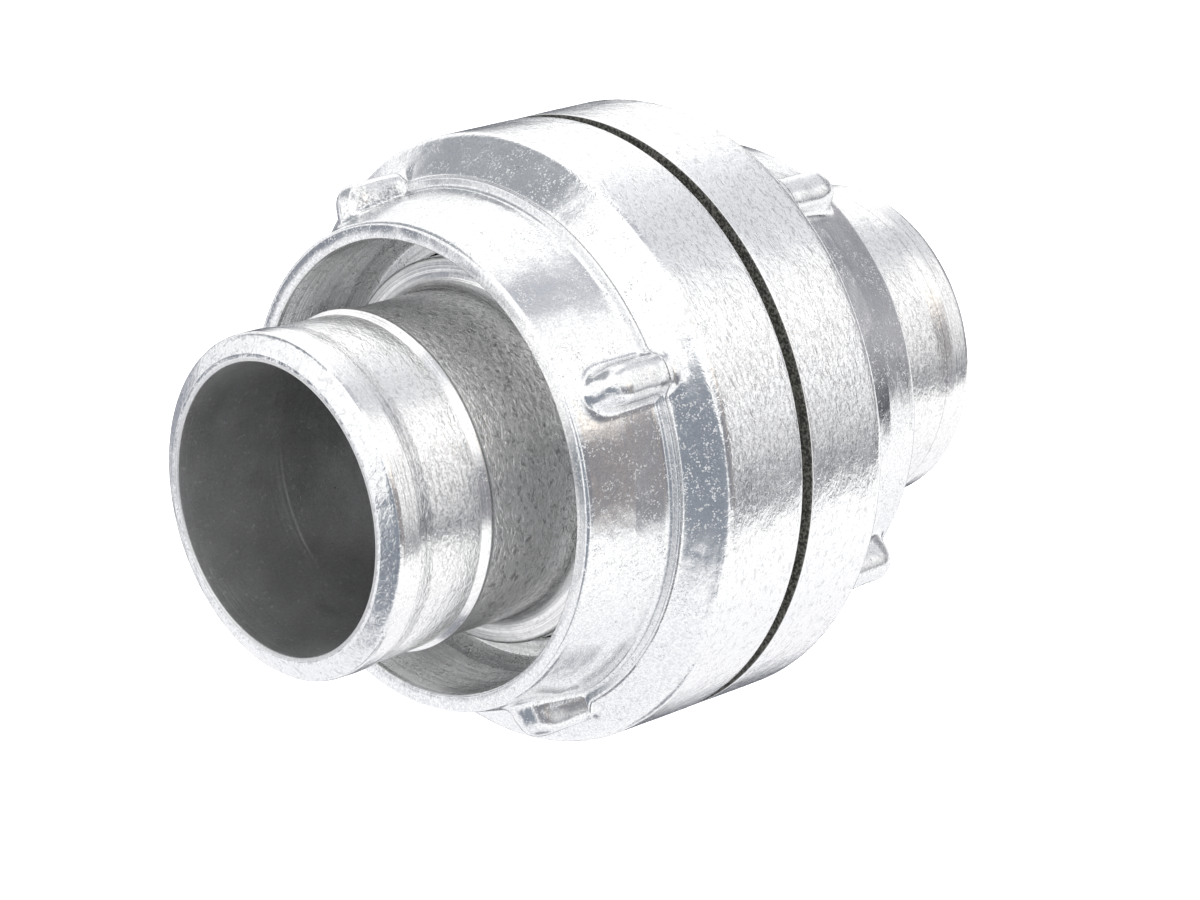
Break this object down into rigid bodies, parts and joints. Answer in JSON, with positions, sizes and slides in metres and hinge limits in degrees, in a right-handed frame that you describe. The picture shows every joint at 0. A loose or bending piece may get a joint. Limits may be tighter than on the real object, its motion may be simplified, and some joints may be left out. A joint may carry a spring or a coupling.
{
  "type": "fire hose adapter",
  "caption": "Straight hose adapter of equal bayonet claw couplings locked face to face, each a flanged lug ring that swivels on a beaded hose tail around an open waterway.",
  "frame": {"origin": "on the axis of the waterway, at the level of the rear hose tail's end, on which the adapter stands", "axes": "+Z along the waterway from the rear hose end to the front one; +X through one of the rear ring's claws and lugs"},
  "size_m": [0.098, 0.098, 0.129],
  "materials": {
    "cast_ring": "tumbled casting",
    "tail_metal": "casting, turned on its bead and ends",
    "wire": "drawn wire",
    "seal_rubber": "moulded, matt"
  },
  "bodies": {
    "rear_tail_body": {"rear_tail": "tail_metal", "rear_seal": "seal_rubber"},
    "rear_ring_body": {"rear_claw_ring": "cast_ring", "rear_snap_ring": "wire"},
    "front_ring_body": {"front_claw_ring": "cast_ring", "front_snap_ring": "wire"},
    "front_tail_body": {"front_tail": "tail_metal", "front_seal": "seal_rubber"}
  },
  "joints": [
    {"name": "rear_swivel", "type": "hinge", "parent": "rear_tail_body", "child": "rear_ring_body", "pos_m": [0, 0, 0.0495], "axis": [0, 0, 1], "continuous": true},
    {"name": "claw_twist", "type": "hinge", "parent": "rear_ring_body", "child": "front_ring_body", "pos_m": [0, 0, 0.0645], "axis": [0, 0, 1], "range_deg": [0, 60]},
    {"name": "front_swivel", "type": "hinge", "parent": "front_ring_body", "child": "front_tail_body", "pos_m": [0, 0, 0.0795], "axis": [0, 0, 1], "continuous": true}
  ]
}
